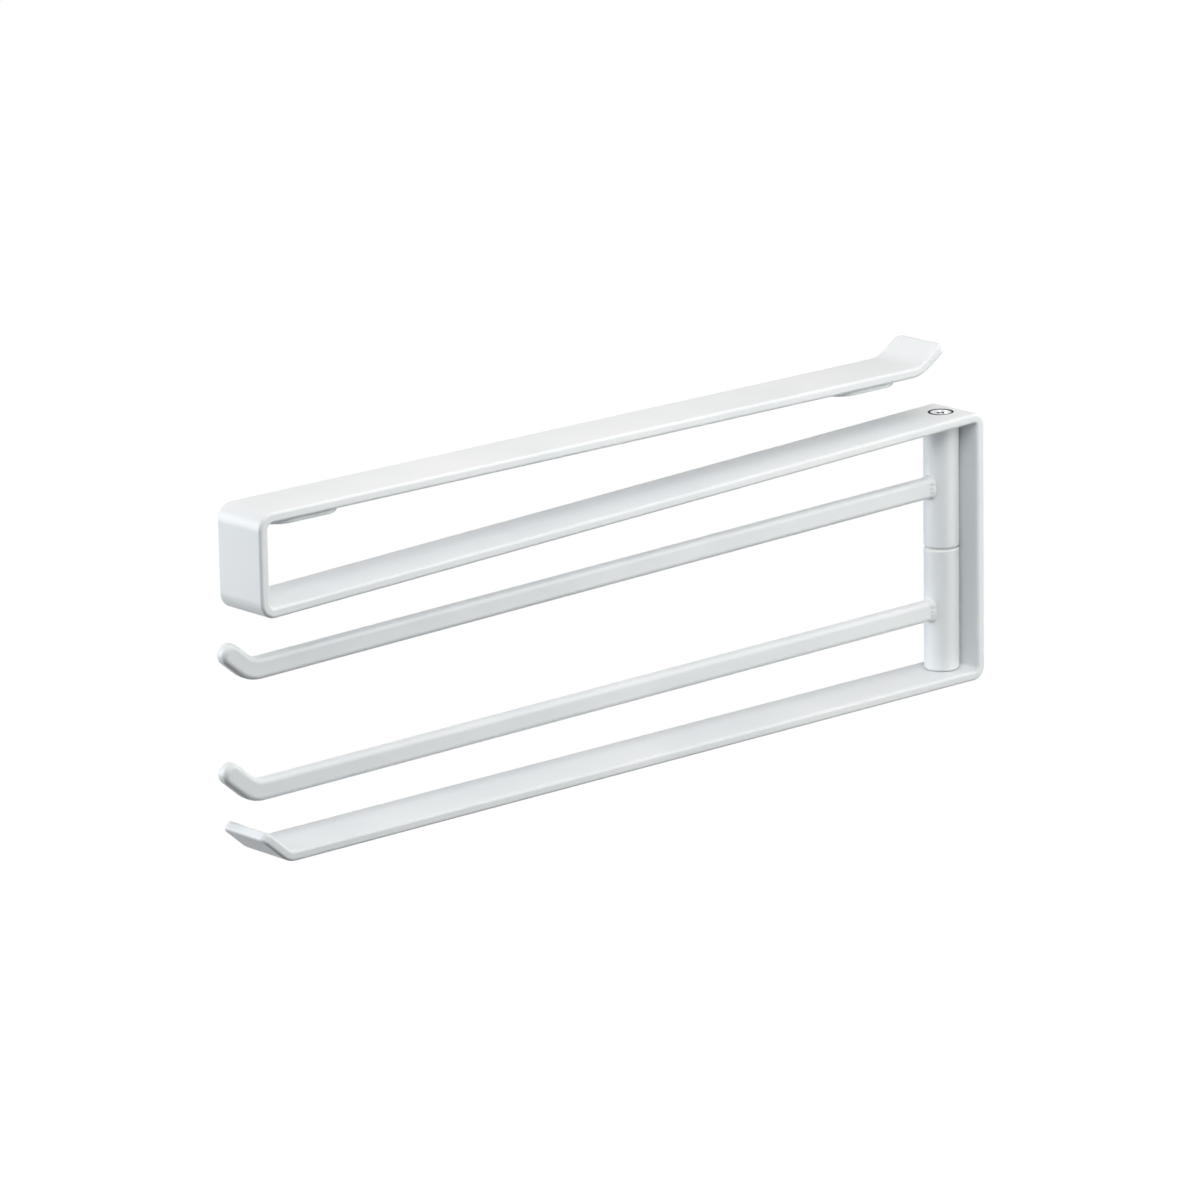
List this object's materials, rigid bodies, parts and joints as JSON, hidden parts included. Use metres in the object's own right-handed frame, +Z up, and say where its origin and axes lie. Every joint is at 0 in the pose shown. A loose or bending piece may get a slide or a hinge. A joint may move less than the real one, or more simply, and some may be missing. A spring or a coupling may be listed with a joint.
{
  "type": "under-shelf dishcloth rail",
  "caption": "Bent steel strip that clips onto a shelf board and carries swing-out arms below it for drying dishcloths.",
  "frame": {"origin": "centre of the front pad's underside, the face that lies on top of the shelf board", "axes": "+X from the user's side to the pivot at the rear, +Y across the strip, +Z up"},
  "size_m": [0.373, 0.025, 0.1388],
  "materials": {
    "white_powder_coat": "satin white powder coat on steel",
    "soft_pad": "matt, slightly translucent white",
    "adhesive": "clear acrylic film",
    "bare_steel": "turned",
    "screw_steel": "bright nickel plate on steel",
    "nylon": "natural nylon"
  },
  "bodies": {
    "frame": {"frame_strip": "white_powder_coat", "front_pad": "soft_pad", "front_pad_adhesive": "adhesive", "rear_pad": "soft_pad", "rear_pad_adhesive": "adhesive", "pivot_shaft": "bare_steel", "upper_screw": "screw_steel", "lower_screw": "screw_steel"},
    "upper_arm": {"upper_arm_bar": "white_powder_coat", "upper_arm_weld": "white_powder_coat", "upper_arm_barrel": "white_powder_coat", "upper_arm_top_bush": "nylon", "upper_arm_bottom_bush": "nylon"},
    "lower_arm": {"lower_arm_bar": "white_powder_coat", "lower_arm_weld": "white_powder_coat", "lower_arm_barrel": "white_powder_coat", "lower_arm_top_bush": "nylon", "lower_arm_bottom_bush": "nylon"}
  },
  "joints": [
    {"name": "upper_arm_swing", "type": "hinge", "parent": "frame", "child": "upper_arm", "pos_m": [0.32585, 0, -0.04704], "axis": [0, 0, 1], "range_deg": [-108, 108]},
    {"name": "lower_arm_swing", "type": "hinge", "parent": "frame", "child": "lower_arm", "pos_m": [0.32585, 0, -0.09683], "axis": [0, 0, 1], "range_deg": [-108, 108]}
  ]
}
